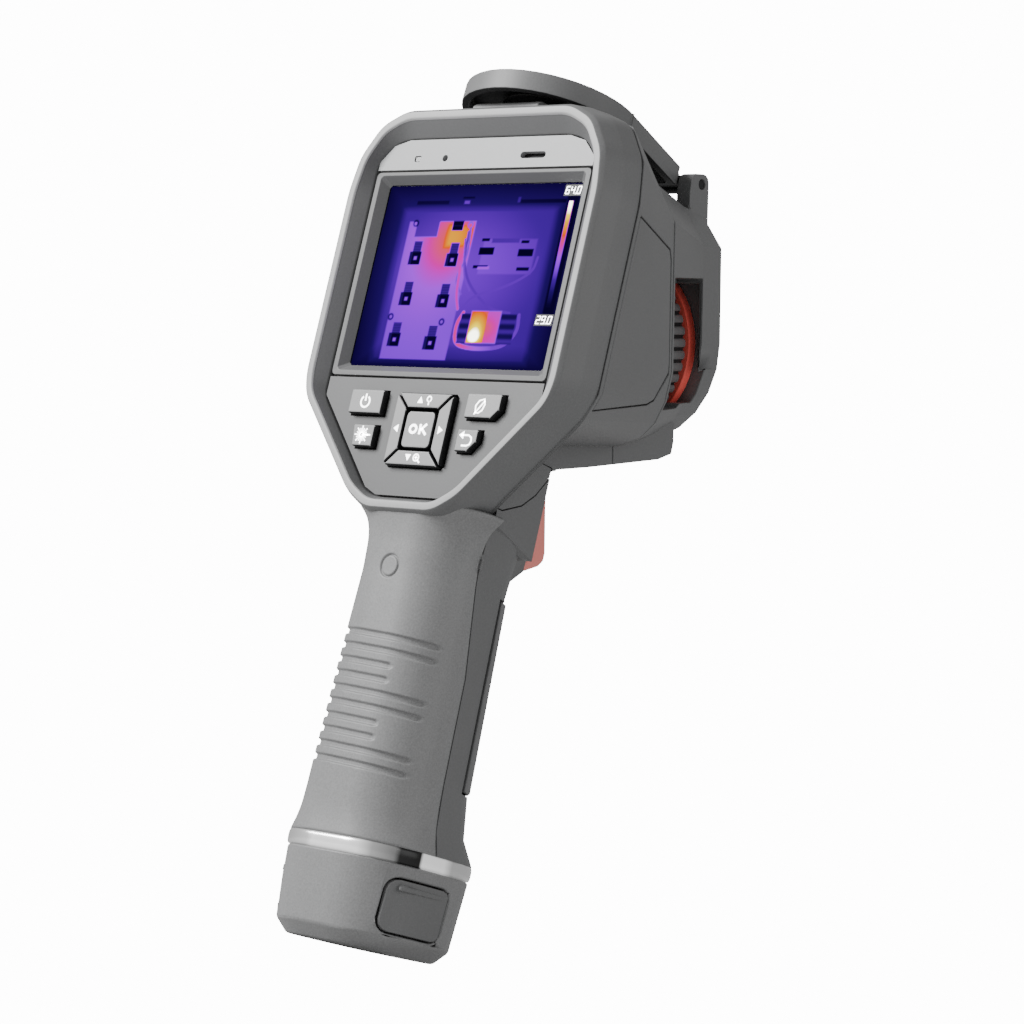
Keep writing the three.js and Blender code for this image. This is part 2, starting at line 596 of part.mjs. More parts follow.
// Lens cover, modelled shut about its hinge and then swung open
const coverGroup = new THREE.Group();
coverGroup.position.set(0, hinge.t, hinge.v);
coverGroup.rotation.x = openAngle;
lensGroup.add(coverGroup);
const plateIn = -3.7;
const plateOut = -1.2;
const rimOut = 2.3;
const coverDisc = { radius: 25.2, v: -hinge.v };
const tongue = [[-24.5, -39.6], [24.5, -39.6], [16.4, -4.6], [-16.4, -4.6]];
const tongueHollow = [[-23, -44], [23, -44], [14.1, -5.8], [-14.1, -5.8]];
const plate = solid(disc(coverDisc.radius, plateIn, plateOut, 40))
  .translate([0, 0, coverDisc.v])
  .add(prism(tongue, plateIn, plateOut, "y"));
const ringOnPlate = (inner, outer, front, segments) =>
  solid(
    turned([[inner, plateOut - 0.5], [outer, plateOut - 0.5], [outer, front], [inner, front]], segments),
  ).translate([0, 0, coverDisc.v]);
const coverRim = ringOnPlate(22.9, coverDisc.radius, rimOut, 40);
const innerRing = ringOnPlate(11.5, 14, 1.6, 28);
const lip = box(-16.4, 16.4, plateIn, rimOut, -6.8, -4.6);
const knuckle = box(-16.4, 16.4, -1.4, 1.4, -5, 0).add(rodX(2.6, -16.4, 16.4, 0, 0, 14));
const rails = prism(tongue, plateOut - 0.5, rimOut, "y")
  .subtract(prism(tongueHollow, plateOut - 1, rimOut + 1, "y"))
  .subtract(solid(disc(22.9, -10, 10, 40)).translate([0, 0, coverDisc.v]));
const cover = join([plate, coverRim, innerRing, rails, lip, knuckle]).subtract(rodX(1.5, -20, 20, 0, 0, 12));
piece("lens_cover", "shell", cover, coverGroup);
const sealProfile = [[17, plateIn - 1], [19.4, plateIn - 1], [19.4, plateIn - gap], [17, plateIn - gap]];
piece("cover_seal", "rubber", turned(sealProfile, 32).translate(0, 0, coverDisc.v), coverGroup);
piece("cover_pin", "steel", rodX(1.25, -21.6, 21.6, hinge.t, hinge.v), lensGroup);
const padSide = [
  [-17, 231], [-10, 232.4], [-6.5, 231.7], [-6.5, 233.2], [-7.5, 234.3],
  [-15.6, 234], [-17, 232.8],
];
piece("rest_pad", "rubber", prism(padSide, -12, 12, "x"), camera);

// Electronics
piece("main_board", "board", box(-38, 38, -7, -5.4, 152, 214), camera);

export default camera;
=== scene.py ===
import math

import bmesh
import bpy
import numpy as np
from mathutils import Matrix, Vector


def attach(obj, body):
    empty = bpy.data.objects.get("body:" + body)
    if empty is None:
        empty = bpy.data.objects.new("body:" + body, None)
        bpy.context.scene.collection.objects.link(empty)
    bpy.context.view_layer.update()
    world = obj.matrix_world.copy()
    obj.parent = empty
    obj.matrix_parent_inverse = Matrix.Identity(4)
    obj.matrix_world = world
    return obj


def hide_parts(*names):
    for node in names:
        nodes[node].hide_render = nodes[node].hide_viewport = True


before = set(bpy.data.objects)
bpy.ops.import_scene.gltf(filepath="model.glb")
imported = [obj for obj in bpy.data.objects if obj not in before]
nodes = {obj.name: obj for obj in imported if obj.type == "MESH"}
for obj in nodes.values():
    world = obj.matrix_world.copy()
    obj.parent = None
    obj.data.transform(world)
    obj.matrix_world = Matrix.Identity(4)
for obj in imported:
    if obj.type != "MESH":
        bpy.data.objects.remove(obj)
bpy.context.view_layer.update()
print("frame loaded:", len(nodes), "pieces")

# Shader helpers


def plug(tree, socket, value):  # a wire is linked, anything else becomes the socket's own value
    if isinstance(value, Wire):
        tree.links.new(value.socket, socket)
    else:
        socket.default_value = value


def addNode(tree, kind, settings=None, inputs=None):
    node = tree.nodes.new(kind)
    for key, value in (settings or {}).items():
        setattr(node, key, value)
    for key, value in (inputs or {}).items():
        plug(tree, node.inputs[key], value)
    return node


class Wire:  # one shader number, used in ordinary arithmetic
    def __init__(self, tree, socket):
        self.tree = tree
        self.socket = socket

    def calc(self, kind, *values):
        inputs = dict(enumerate(values))
        node = addNode(self.tree, "ShaderNodeMath", {"operation": kind}, inputs)
        return Wire(self.tree, node.outputs[0])

    def __add__(self, other):
        return self.calc("ADD", self, other)

    def __radd__(self, other):
        return self.calc("ADD", other, self)

    def __sub__(self, other):
        return self.calc("SUBTRACT", self, other)

    def __mul__(self, other):
        return self.calc("MULTIPLY", self, other)

    def __truediv__(self, other):
        return self.calc("DIVIDE", self, other)

    def clamped(self):
        return self.calc("MINIMUM", self.calc("MAXIMUM", self, 0.0), 1.0)


def wireOf(tree, node, output):
    return Wire(tree, node.outputs[output])


def noiseOf(tree, place, scale, detail=2.0):
    node = addNode(tree, "ShaderNodeTexNoise", None, {"Vector": place, "Scale": scale, "Detail": detail})
    return wireOf(tree, node, "Fac")


def mixColour(tree, factor, first, second):
    node = addNode(tree, "ShaderNodeMix", {"data_type": "RGBA"})
    plug(tree, node.inputs[0], factor)
    plug(tree, node.inputs[6], first)
    plug(tree, node.inputs[7], second)
    return wireOf(tree, node, 2)


def fillRamp(ramp, stops):
    ramp.elements.remove(ramp.elements[1])
    ramp.elements[0].position = stops[0][0]
    ramp.elements[0].color = (*stops[0][1], 1.0)
    for position, colour in stops[1:]:
        ramp.elements.new(position).color = (*colour, 1.0)


def newMaterial(name):
    material = bpy.data.materials.new(name)
    material.use_nodes = True
    tree = material.node_tree
    tree.nodes.clear()
    out = addNode(tree, "ShaderNodeOutputMaterial")
    shader = addNode(tree, "ShaderNodeBsdfPrincipled")
    tree.links.new(shader.outputs[0], out.inputs[0])
    return material, tree, shader, out


def millimetres(tree):  # object coordinates in millimetres
    coords = addNode(tree, "ShaderNodeTexCoord")
    place = wireOf(tree, coords, "Object")
    scaled = addNode(tree, "ShaderNodeVectorMath", {"operation": "SCALE"}, {0: place, "Scale": 1000.0})
    return wireOf(tree, scaled, 0)


def finish(name, values):  # colour by cloud and grain noise, roughness and bump by the grain alone
    material, tree, shader, out = newMaterial(name)
    place = millimetres(tree)
    cloud = noiseOf(tree, place, 0.06, 3.0)
    grain = noiseOf(tree, place, values.get("grainScale", 2.2), 2.0)
    blend = (cloud - 0.5) * 0.25 + (grain - 0.5) * values.get("speck", 0.5) + 0.5
    colour = values["colour"]
    spread = values.get("spread", 0.18)
    dark = (*[c * (1 - spread) for c in colour], 1.0)
    light = (*[min(c * (1 + spread), 1.0) for c in colour], 1.0)
    plug(tree, shader.inputs["Base Color"], mixColour(tree, blend.clamped(), dark, light))
    plug(tree, shader.inputs["Roughness"], (values["rough"] + (grain - 0.5) * 0.16).clamped())
    shader.inputs["Metallic"].default_value = values.get("metal", 0.0)
    shader.inputs["Specular IOR Level"].default_value = 0.4
    relief = {"Strength": values.get("bump", 0.25), "Distance": 0.00006, "Height": grain}
    bump = addNode(tree, "ShaderNodeBump", None, relief)
    plug(tree, shader.inputs["Normal"], wireOf(tree, bump, 0))
    return material


looks = {
    "body": {"colour": (0.16, 0.161, 0.163), "rough": 0.46, "speck": 0.7, "spread": 0.2},
    "grip": {"colour": (0.24, 0.241, 0.243), "rough": 0.46, "speck": 1.1, "spread": 0.26, "bump": 0.35},
    # painted highlight: the rim's light band, lighter than the body to stand in for the highlight on it
    "rim": {"colour": (0.42, 0.421, 0.423), "rough": 0.45, "speck": 0.6, "spread": 0.16},
    # painted shade: the mouth's recess, darker than the body
    "mouth": {"colour": (0.13, 0.131, 0.133), "rough": 0.5, "speck": 0.6, "spread": 0.16},
    "panel": {"colour": (0.14, 0.141, 0.143), "rough": 0.48, "speck": 0.5, "spread": 0.14},
    "trim": {"colour": (0.36, 0.365, 0.37), "rough": 0.36, "speck": 0.5, "spread": 0.05},
    "key": {"colour": (0.33, 0.331, 0.333), "rough": 0.36, "speck": 0.5, "spread": 0.1},
    "coral": {"colour": (1.0, 0.3, 0.26), "rough": 0.42, "speck": 0.4, "spread": 0.06},
    "accent": {"colour": (0.95, 0.13, 0.1), "rough": 0.4, "speck": 0.3, "spread": 0.06},
    "rubber": {"colour": (0.045, 0.046, 0.048), "rough": 0.75, "speck": 0.8, "spread": 0.2},
    "black": {"colour": (0.008, 0.008, 0.009), "rough": 0.55, "speck": 0.5, "spread": 0.25},
    "steel": {"colour": (0.5, 0.51, 0.52), "rough": 0.32, "metal": 1.0, "grainScale": 4.0, "spread": 0.1},
    "brass": {"colour": (0.6, 0.42, 0.2), "rough": 0.3, "metal": 1.0, "spread": 0.1},
    "board": {"colour": (0.02, 0.11, 0.05), "rough": 0.45, "grainScale": 0.9, "spread": 0.4},
    "cell": {"colour": (0.03, 0.1, 0.32), "rough": 0.35, "spread": 0.08},
    "germanium": {
        "colour": (0.05, 0.045, 0.06),
        "rough": 0.12,
        "metal": 0.8,
        "grainScale": 0.4,
        "spread": 0.2,
        "bump": 0.0,
    },
    "tile": {"colour": (0.02, 0.02, 0.022), "rough": 0.5, "spread": 0.1, "bump": 0.0},
    "clear": {"colour": (0.12, 0.125, 0.13), "rough": 0.15, "spread": 0.1, "bump": 0.05},
    "glass": {"colour": (0.01, 0.008, 0.03), "rough": 0.12, "spread": 0.1, "bump": 0.0},
    "white": {"colour": (0.85, 0.85, 0.85), "rough": 0.4, "speck": 0.3, "spread": 0.03},
    # painted shade for the valleys between the focus ring's ribs
    "grooveShade": {"colour": (0.012, 0.012, 0.013), "rough": 0.7, "spread": 0.2},
}
materials = {name: finish(name, values) for name, values in looks.items()}
whiteGlow = materials["white"].node_tree.nodes["Principled BSDF"]  # the readings glow as the lit screen does; the key symbols glow with painted light so their white print reads bright
whiteGlow.inputs["Emission Color"].default_value = (1.0, 1.0, 1.0, 1.0)
whiteGlow.inputs["Emission Strength"].default_value = 7.0
print("materials made:", len(materials))

# Surface helpers


def asMesh(name, points, faces, smooth=True):
    mesh = bpy.data.meshes.new(name)
    mesh.from_pydata(np.asarray(points, float).reshape(-1, 3).tolist(), [], faces)
    mesh.update()
    mesh.polygons.foreach_set("use_smooth", np.full(len(mesh.polygons), smooth))
    obj = bpy.data.objects.new(name, mesh)
    bpy.context.scene.collection.objects.link(obj)
    return obj


def quads(rows, columns, closed, flip=False):  # faces of a grid, joined round when closed
    i = np.arange(rows - 1)[:, None]
    j = np.arange(columns if closed else columns - 1)[None, :]
    k = (j + 1) % columns
    corners = [i * columns + j, i * columns + k, (i + 1) * columns + k, (i + 1) * columns + j]
    table = np.stack(np.broadcast_arrays(*corners), -1).reshape(-1, 4)
    return (table[:, ::-1] if flip else table).tolist()


def gridPiece(name, points, closed=True, flip=False, capped=False):  # points in millimetres
    rows, columns = points.shape[:2]
    faces = quads(rows, columns, closed, flip)
    if capped:
        faces.append(list(range(columns))[::-1])
        faces.append([(rows - 1) * columns + column for column in range(columns)])
    return asMesh(name, points * 0.001, faces)


def shortened(edge, reach):  # an edge cut down to reach, and to less than half of itself
    length = np.maximum(np.linalg.norm(edge, axis=-1, keepdims=True), 1e-9)
    return edge * np.minimum(reach / length, 0.45)


def eased(points, reach, steps, closed):
    # each corner p becomes (1-t)^2 s + 2t(1-t) p + t^2 e, with s and e at most reach away along its two edges
    start = points + shortened(np.roll(points, 1, 0) - points, reach)
    end = points + shortened(np.roll(points, -1, 0) - points, reach)
    if not closed:
        start[0] = end[0] = points[0]
        start[-1] = end[-1] = points[-1]
    t = np.linspace(0, 1, steps).reshape((1, steps) + (1,) * (points.ndim - 1))
    curve = (1 - t) ** 2 * start[:, None] + 2 * t * (1 - t) * points[:, None] + t**2 * end[:, None]
    return curve.reshape((-1,) + points.shape[1:])


def mirrored(half):  # right half of an outline to the whole of it
    return np.concatenate([half, half[::-1] * np.array([-1.0, 1.0])])


def modify(obj, name, kind, **values):
    modifier = obj.modifiers.new(name, kind)
    for key, value in values.items():
        setattr(modifier, key, value)
    return modifier


def place(obj, body, slotName, material, *replaced):
    if material:
        obj.data.materials.clear()
        obj.data.materials.append(materials[material])
    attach(obj, body)
    if replaced:
        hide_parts(*replaced)
    return obj


def softened(node, name, width, sharp):  # merged copy of a piece, its edges over sharp degrees rounded
    mesh = nodes[node].data.copy()
    mesh.name = name
    work = bmesh.new()
    work.from_mesh(mesh)
    bmesh.ops.remove_doubles(work, verts=work.verts, dist=2e-6)
    bmesh.ops.dissolve_limit(work, angle_limit=math.radians(1.5), verts=work.verts, edges=work.edges)
    bmesh.ops.dissolve_degenerate(work, dist=2e-5, edges=work.edges)
    for face in work.faces:
        face.smooth = True
    for edge in work.edges:
        edge.smooth = len(edge.link_faces) != 2 or edge.calc_face_angle(0.0) < math.radians(sharp)
    work.to_mesh(mesh)
    work.free()
    obj = bpy.data.objects.new(name, mesh)
    bpy.context.scene.collection.objects.link(obj)
    if width:
        modify(
            obj,
            "edges",
            "BEVEL",
            width=width * 0.001,
            segments=3,
            limit_method="ANGLE",
            angle_limit=math.radians(sharp),
            use_clamp_overlap=False,
            harden_normals=True,
            miter_outer="MITER_ARC",
        )
    return obj


def titled(node):  # name of the rounded copy of a node
    return node.replace("_", " ").title().replace(" ", "")


def faceValues(mesh, what):  # three numbers for each face
    values = np.empty(len(mesh.polygons) * 3)
    mesh.polygons.foreach_get(what, values)
    return values.reshape(-1, 3)


# Rim and rear half of the head: a profile of outlines carried round the display mouth

rim = {"corner": 3.0, "bandEdge": 0.35, "wall": 1.2, "lip": 0.9, "lipZ": 172, "mouthStrips": 14, "strips": 21}
outlines = np.array(
    [
        # x, z of the mouth's edge, of its floor, of the light band and of the seam, right half from the top
        (29, 226.9, 29.3, 222.2, 30, 229.3, 31, 232),
        (36.4, 223.3, 34.8, 220.6, 38, 225.3, 41, 228),
        (41.3, 215.5, 39.5, 215.3, 43.7, 216.3, 47.3, 218),
        (42.9, 206, 39.5, 206, 45.3, 206, 49.2, 206),
        (42.9, 152.4, 39.5, 152, 45.3, 152, 49.2, 153),
        (41.6, 147.2, 39.5, 146.9, 43.7, 146, 46, 146),
        (18.8, 121.9, 16.8, 121.1, 20, 119.7, 20.5, 118.2),
        (11.6, 117.7, 12.1, 119.1, 12.3, 115.3, 13, 113),
    ]
)
mouthInner, mouthFloor, rimOuter, seamOuter = np.split(outlines, 4, axis=1)


def between(a, b, share):
    return a * (1 - share) + b * share


lipMiddle = np.array([0, rim["lipZ"]])
mouthLip = lipMiddle + (mouthFloor - lipMiddle) * rim["lip"]
stations = [
    (mouthLip, -18.0),
    (mouthFloor, -18.0),
    (mouthFloor, -20.4),
    (between(mouthFloor, mouthInner, 0.94), -23.2),
    (between(mouthInner, rimOuter, 0.08), -23.8),
    (between(mouthInner, rimOuter, 0.9), -23.8),
    (between(rimOuter, seamOuter, 0.22), -22.6),
    (between(rimOuter, seamOuter, 0.72), -17.0),
    (seamOuter, -11.0),
    (between(seamOuter, rimOuter, 0.1), -10.1),
]
control = np.stack([mirrored(outline) for outline, y in stations])
ys = np.array([y for outline, y in stations])
control = np.stack([control[..., 0], np.broadcast_to(ys[:, None], control.shape[:2]), control[..., 1]], -1)
control = eased(control.transpose(1, 0, 2), rim["corner"], 7, True).transpose(1, 0, 2)
control = eased(control, rim["bandEdge"], 4, False)
rimShell = gridPiece("rimShell", control)
modify(rimShell, "wall", "SOLIDIFY", thickness=rim["wall"] * 0.001, offset=-1.0)
for look in ("body", "mouth", "rim"):
    rimShell.data.materials.append(materials[look])
strip = np.arange(len(rimShell.data.polygons)) // control.shape[1]
inMouth = strip < rim["mouthStrips"]
onRim = strip < rim["strips"]
lookIndex = np.where(inMouth, 1, np.where(onRim, 2, 0))  # painted shade in the mouth's recess, a painted highlight on the light band, then the body's own grey
rimShell.data.polygons.foreach_set("material_index", lookIndex.astype(np.int32))
place(rimShell, "body", "shell", None, "rear_shell")
print("rim made")

# Rear half of the grip, with its finger grooves

grip = {
    "wall": 1.2,
    "grooves": 10,
    "grooveDepth": 0.75,
    "grooveHalf": 1.05,
    "grooveSoft": 0.5,
    "pitch": 3.87,
    "top": 81.5,
    "left": 17.9,
    "long": 17.2,
    "short": 8.5,
    "slope": 0.05,
}
plugMark = {"z": 100.3, "radius": 3.0, "width": 0.28, "depth": 0.55}
gripTable = np.array(
    [
        # z, middle y, half width, half depth, corner radius
        (27.4, -0.1, 22.1, 23.2, 17.0),
        (30.0, -0.9, 21.1, 22.0, 16.6),
        (34.0, -1.6, 20.1, 21.0, 16.0),
        (40.0, -2.2, 19.5, 20.4, 15.6),
        (46.0, -2.6, 19.2, 20.0, 15.3),
        (75.0, -2.5, 18.6, 19.4, 15.0),
        (100.0, -2.5, 17.9, 18.9, 15.0),
        (108.0, -2.5, 18.2, 19.1, 15.0),
        (112.0, -2.5, 18.9, 19.5, 15.0),
        (115.0, -2.5, 20.4, 20.0, 15.0),
        (118.0, -2.5, 24.0, 20.4, 15.0),
    ]
)
bandsOfRows = [(27.4, 43.5, 26), (43.8, 85, 200), (85.6, 95.6, 12), (95.8, 105, 62), (105.6, 118, 20)]
rowZ = np.concatenate([np.linspace(low, high, count) for low, high, count in bandsOfRows])


def smoothed(column):  # mean of the table's straight lines over 3.2 mm
    shifts = np.linspace(-1.6, 1.6, 9)
    return np.mean([np.interp(rowZ + shift, gripTable[:, 0], gripTable[:, column]) for shift in shifts], 0)


middle, halfX, halfY, radius = [smoothed(column)[:, None] for column in (1, 2, 3, 4)]
seamY = np.interp(rowZ, [0, 75, 105, 130], [-2.6, -2.8, -6.6, -6.6])[:, None]
turn = math.pi / 2 * (1 - np.linspace(1, 0, 42) ** 1.7)[None, :]
side = np.linspace(0, 1, 8)[None, :-1]
arcX = halfX - radius + radius * np.cos(turn)
arcY = middle - (halfY - radius) - radius * np.sin(turn)
sideY = seamY + (arcY[:, :1] - seamY) * side
flat = np.linspace(1, 0, 16)[None, 1:]
rightX = np.concatenate([np.broadcast_to(halfX, sideY.shape), arcX, (halfX - radius) * flat], 1)
rightY = np.concatenate([sideY, arcY, arcY[:, -1:] + 0 * flat], 1)
gripX = np.concatenate([rightX, -rightX[:, -2::-1]], 1)
gripYs = np.concatenate([rightY, rightY[:, -2::-1]], 1)
gripZ = np.broadcast_to(rowZ[:, None], gripX.shape)
backWeight = np.clip((seamY - gripYs) / 3.0, 0, 1)
depth = np.zeros_like(gripX)
for index in range(grip["grooves"]):
    right = grip["long"] if index % 4 < 2 else grip["short"]
    lineZ = grip["top"] - grip["pitch"] * index - grip["slope"] * gripX
    overrun = np.maximum(gripX - (right - 1.0), 0) + np.maximum(-grip["left"] - gripX, 0)
    distance = np.hypot(overrun, gripZ - lineZ)
    level = np.clip((grip["grooveHalf"] - distance) / grip["grooveSoft"], 0, 1)
    depth = np.maximum(depth, level * level * (3 - 2 * level) * grip["grooveDepth"])
fromRing = (np.hypot(gripX, gripZ - plugMark["z"]) - plugMark["radius"]) / plugMark["width"]
depth = np.maximum(depth, np.where(gripYs < middle, plugMark["depth"] * np.exp(-(fromRing**2)), 0))
inward = np.stack([-gripX / halfX, -(gripYs - middle) / halfY], -1)
inward /= np.linalg.norm(inward, axis=-1, keepdims=True)
depth = depth * backWeight
gripPoints = np.stack([gripX + inward[..., 0] * depth, gripYs + inward[..., 1] * depth, gripZ], -1)
rearGrip = gridPiece("rearGrip", gripPoints, closed=False, flip=True)
modify(rearGrip, "wall", "SOLIDIFY", thickness=grip["wall"] * 0.001, offset=-1.0)
place(rearGrip, "body", "shell", "grip", "rear_shell", "grip_plug")
print("grip made")

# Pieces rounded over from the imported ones: node, width of the rounding, sharp angle, material, body, slot

rounded = {
    "front_shell": (0.35, 36, "body", "body", "shell"),
    "grip_front_shell": (0.0, 50, "body", "body", "shell"),
    "lens_housing": (0.4, 34, "body", "body", "shell"),
    "side_panel_left": (0.5, 30, "body", "body", "panel"),
    "side_panel_right": (0.5, 30, "body", "body", "panel"),
    "top_trim_plate": (0.0, 30, "trim", "body", "trim"),
    "display_frame": (0.15, 30, "panel", "body", "panel"),
    "keypad_panel": (0.0, 30, "panel", "body", "panel"),
    "battery_base": (0.7, 24, "grip", "battery", "shell"),
    "latch_left": (0.3, 40, "body", "latch_left", "shell"),
    "latch_right": (0.3, 40, "body", "latch_right", "shell"),
    "trigger": (1.0, 24, "coral", "trigger", "coral"),
    "interface_cover": (0.5, 30, "body", "interface_cover", "rubber"),
    "accent_ring": (0.3, 30, "accent", "focus", "coral"),
    "rest_pad": (0.5, 20, "body", "body", "rubber"),
}
for key in ("power", "laser", "up", "down", "left", "right", "ok", "picture", "back"):
    rounded[key + "_key"] = (0.55, 30, "key", key + "_key", "key")
for node, (width, sharp, material, body, slotName) in rounded.items():
    piece = softened(node, titled(node), width, sharp)
    place(piece, body, slotName, material, node)
    if material == "key":  # black sides as painted shade, standing in for the shade in the gaps round each key
        piece.data.materials.append(materials["black"])
        shadedSides = faceValues(piece.data, "normal")[:, 1] > -0.5
        piece.data.polygons.foreach_set("material_index", shadedSides.astype(np.int32))
print("rounded pieces made:", len(rounded))

cover = softened("lens_cover", "coverPlate", 0.5, 28)
cover.data.materials.clear()
cover.data.materials.append(materials["body"])
cover.data.materials.append(materials["black"])
coverShade = {"middleY": 0.0023, "radius": 0.0228, "hingeY": 0.0425}  # painted shade: underside and hinge black, standing in for the deep shade they lie in; in metres
centres = faceValues(cover.data, "center")
upward = faceValues(cover.data, "normal")[:, 2]
onDisc = np.hypot(centres[:, 0], centres[:, 1] - coverShade["middleY"]) < coverShade["radius"]
shadedFaces = (upward < 0.5) & onDisc | (centres[:, 1] > coverShade["hingeY"]) & (upward < 0.9)
cover.data.polygons.foreach_set("material_index", shadedFaces.astype(np.int32))
place(cover, "lens_cover", "shell", None, "lens_cover")

# Ribbed focus ring, carried along the lens axis: radius = outer - cut exp(-(turn from a groove / width)^2)

lensFrame = {"y": 57.4, "z": 188.3, "tilt": math.radians(18)}
focusRing = {
    "ribs": 44,
    "outer": 24.9,
    "inner": 21.3,
    "back": -18.7,
    "front": -5.5,
    "cut": 0.9,
    "width": 0.2,
    "dark": 0.17,
}
ringTurn = np.linspace(0, 2 * math.pi, focusRing["ribs"] * 16, endpoint=False)
phase = (ringTurn * focusRing["ribs"] / (2 * math.pi)) % 1 - 0.5
valley = focusRing["cut"] * np.exp(-((phase / focusRing["width"]) ** 2))
section = np.array([(0, 0), (0.6, 0), (1, 0.06), (1, 0.94), (0.6, 1), (0, 1)])  # share of depth and of length
radii = focusRing["inner"] + section[:, :1] * (focusRing["outer"] - valley - focusRing["inner"])
axial = focusRing["back"] + (focusRing["front"] - focusRing["back"]) * section[:, 1:]
lensX = radii * np.cos(ringTurn)
lensUp = radii * np.sin(ringTurn)
lensY = lensFrame["y"] + axial * math.cos(lensFrame["tilt"]) - lensUp * math.sin(lensFrame["tilt"])
lensZ = lensFrame["z"] + axial * math.sin(lensFrame["tilt"]) + lensUp * math.cos(lensFrame["tilt"])
ribbed = np.stack([lensX, lensY, lensZ], -1)
ribbed = gridPiece("ribbedRing", np.concatenate([ribbed, ribbed[:1]]))
work = bmesh.new()
work.from_mesh(ribbed.data)
bmesh.ops.remove_doubles(work, verts=work.verts, dist=1e-7)
bmesh.ops.recalc_face_normals(work, faces=work.faces)
work.to_mesh(ribbed.data)
work.free()
ribbed.data.materials.append(materials["body"])
ribbed.data.materials.append(materials["grooveShade"])
# painted shade: outer faces in each rib valley get the near-black groove finish, standing in for the shade
# between the ribs
valleyShade = np.zeros(len(ribbed.data.polygons), np.int32)
perRow = len(ringTurn)
valleyShade[2 * perRow : 3 * perRow] = np.abs(phase) < focusRing["dark"]
ribbed.data.polygons.foreach_set("material_index", valleyShade)
place(ribbed, "focus", "panel", None, "focus_ring")
print("focus ring made")

# Bright ring between grip and battery, banded with painted reflections: a colour ramp fixes its light and
# dark bands to the ring, and it glows a little with painted light

plating = {
    "low": 23.45,
    "high": 27.3,
    "bulge": 0.35,
    "inset": 0.2,
    "flatX": 5.1,
    "flatY": 6.2,
    "corner": 17.0,
}
ringRows = np.linspace(0, 1, 9)
angle = np.linspace(0, 2 * math.pi, 160, endpoint=False)
swell = plating["bulge"] * np.sqrt(np.clip(1 - (2 * ringRows - 1) ** 2, 0, 1))[:, None] - plating["inset"]
ringX = np.sign(np.cos(angle)) * plating["flatX"] + (plating["corner"] + swell) * np.cos(angle)
ringY = np.sign(np.sin(angle)) * plating["flatY"] + (plating["corner"] + swell) * np.sin(angle)
ringZ = np.broadcast_to(between(plating["low"], plating["high"], ringRows)[:, None], ringX.shape)
ringPoints = np.stack([ringX, ringY, ringZ], -1)
platedRing = gridPiece("platedRing", ringPoints, capped=True)
place(platedRing, "body", "chrome", None, "grip_ring")
material, tree, shader, out = newMaterial("plating")
spot = millimetres(tree)
parts = addNode(tree, "ShaderNodeSeparateXYZ", None, {0: spot})
acrossRing = (wireOf(tree, parts, "X") * 0.776 + wireOf(tree, parts, "Y") * 0.631 + 25.0) / 50.0  # 0 to 1
# painted reflection: grey bands across the ring by position, standing in for what polished plating would
# reflect
paintedReflectionBands = addNode(tree, "ShaderNodeValToRGB", None, {0: acrossRing})
paintedReflectionGreys = [
    (0.0, 0.4),
    (0.12, 0.65),
    (0.15, 1.0),
    (0.4, 1.0),
    (0.48, 0.4),
    (0.6, 0.2),
    (0.63, 0.02),
    (0.735, 0.015),
    (0.75, 0.95),
    (0.86, 0.9),
    (0.9, 0.4),
]
fillRamp(paintedReflectionBands.color_ramp, [(position, (level, level, level)) for position, level in paintedReflectionGreys])
plug(tree, shader.inputs["Base Color"], wireOf(tree, paintedReflectionBands, 0))
plug(tree, shader.inputs["Emission Color"], wireOf(tree, paintedReflectionBands, 0))
# painted light: the banded colour also glows, so the painted reflections stay bright
shader.inputs["Emission Strength"].default_value = 0.5
shader.inputs["Metallic"].default_value = 0.75
shader.inputs["Roughness"].default_value = 0.22
platedRing.data.materials.append(material)

# Display: heat = sum of soft blocks, glows and curved lines over the lit area, read through a palette

display = {"halfWidth": 35.04, "halfHeight": 26.28, "z": 183.0, "y": -17.56, "glow": 1.5}
aspect = 0.75
across, down = np.meshgrid(np.linspace(0, 1, 300), np.linspace(0, 1, 226))


def block(left, right, top, bottom, soft=0.006):  # 1 inside a rectangle, falling to 0 over soft
    ramps = [(across - left) / soft, (right - across) / soft, (down - top) / soft, (bottom - down) / soft]
    return np.clip(np.min(ramps, 0) + 0.5, 0, 1)


def glow(x, y, size, stretch=1.0):  # exp(-r^2)
    return np.exp(-(((across - x) / size) ** 2) - ((down - y) / (size * stretch)) ** 2)


def line(points, width):  # 1 within width of a curve through points
    path = eased(np.array(points, float), 0.2, 8, False)
    distance = np.full(across.shape, 9.0)
    for a, b in zip(path[:-1], path[1:]):
        step = b - a
        share = np.clip(((across - a[0]) * step[0] + (down - a[1]) * step[1]) / max(step @ step, 1e-9), 0, 1)
        gone = np.hypot(across - a[0] - share * step[0], (down - a[1] - share * step[1]) * aspect)
        distance = np.minimum(distance, gone)
    return np.clip((width - distance) / 0.003 + 0.5, 0, 1)


heat = 0.2 + 0.05 * glow(0.55, 0.5, 0.5) + 0.06 * glow(0.4, 0.45, 0.36)
heat -= 0.1 * np.clip(1 - np.minimum.reduce([across, 1 - across, down, 1 - down]) / 0.13, 0, 1)
heat += 0.09 * block(0.1, 0.9, 0.13, 0.97, 0.04)
edging = block(0.16, 0.33, 0.085, 0.105) + block(0.7, 0.93, 0.085, 0.105) + block(0.4, 0.46, 0.065, 0.075)
heat -= 0.09 * edging
heat += 0.16 * block(0.41, 0.44, 0.085, 0.105) + 0.1 * block(0.685, 0.7, 0.07, 0.1)
slab = block(0.145, 0.495, 0.2, 0.96, 0.008)
slab = np.maximum(slab - block(0.185, 0.305, 0.17, 0.285), 0)
warmth = 0.42 + 0.24 * glow(0.4, 0.28, 0.17, 1.3) + 0.1 * glow(0.3, 0.45, 0.22, 1.6)
heat = heat * (1 - slab) + slab * warmth
